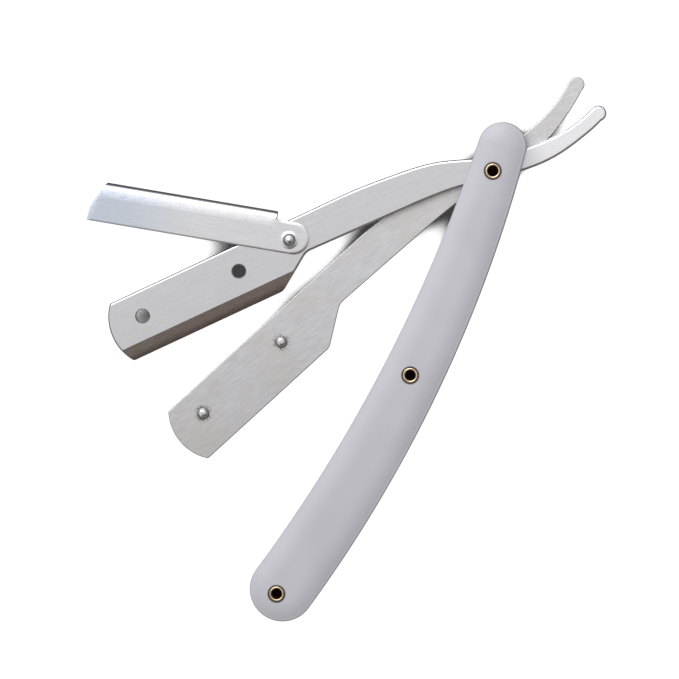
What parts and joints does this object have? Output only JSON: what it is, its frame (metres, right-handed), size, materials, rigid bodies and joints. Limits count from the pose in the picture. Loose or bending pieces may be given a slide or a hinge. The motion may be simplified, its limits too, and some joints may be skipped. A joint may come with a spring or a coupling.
{
  "type": "straight razor",
  "caption": "Folding barber's razor for replaceable half blades: two steel arms, a swing-over spine clip and a curved plastic handle held by tubular brass rivets.",
  "frame": {"origin": "on the pivot axis, in the plane of the rear scale's flat outer face, on which the closed end of the pivot rivet lies flush", "axes": "+X along the handle from the pivot rivet to the end rivet, +Y towards the handle's bowed back, +Z along the pivot axis, out of the front scale"},
  "size_m": [0.1682, 0.1129, 0.0102],
  "materials": {
    "handle_plastic": "smooth moulded, satin gloss, pale lilac grey",
    "wedge_plastic": "moulded, matte",
    "brass": "rolled rims polished, bores darkened",
    "washer_brass": "plain stamped",
    "spacer_steel": "plain tube",
    "rear_arm_steel": "brushed along its length, fine scratches",
    "front_arm_steel": "fine satin, polished edges",
    "stud_steel": "bright turned heads",
    "clip_steel": "polished sheet"
  },
  "bodies": {
    "handle": {"rear_scale": "handle_plastic", "front_scale": "handle_plastic", "end_wedge": "wedge_plastic", "pivot_rivet": "brass", "middle_rivet": "brass", "end_rivet": "brass", "rear_pivot_washer": "washer_brass", "middle_spacer": "spacer_steel"},
    "rear_arm_body": {"rear_arm": "rear_arm_steel", "heel_stud": "stud_steel", "tip_stud": "stud_steel"},
    "front_washer_body": {"front_pivot_washer": "washer_brass"},
    "front_arm_body": {"front_arm": "front_arm_steel", "clip_rivet": "stud_steel"},
    "clip_body": {"spine_clip": "clip_steel"}
  },
  "joints": [
    {"name": "razor_swing", "type": "hinge", "parent": "handle", "child": "rear_arm_body", "pos_m": [0, 0, 0.00355], "axis": [0, 0, -1], "range_deg": [-21.5, 240]},
    {"name": "arms_press", "type": "slide", "parent": "rear_arm_body", "child": "front_washer_body", "axis": [0, 0, 1], "range_m": [-0.00185, 0], "stiffness_N_per_m": 600, "springref_m": 0.0008},
    {"name": "arm_spread", "type": "hinge", "parent": "front_washer_body", "child": "front_arm_body", "pos_m": [0, 0, 0.00665], "axis": [0, 0, -1], "range_deg": [-17.4, 25]},
    {"name": "clip_swing", "type": "hinge", "parent": "front_arm_body", "child": "clip_body", "pos_m": [0.04155, -0.04039, 0.00755], "axis": [0, 0, -1], "range_deg": [-34.5, 35]}
  ]
}
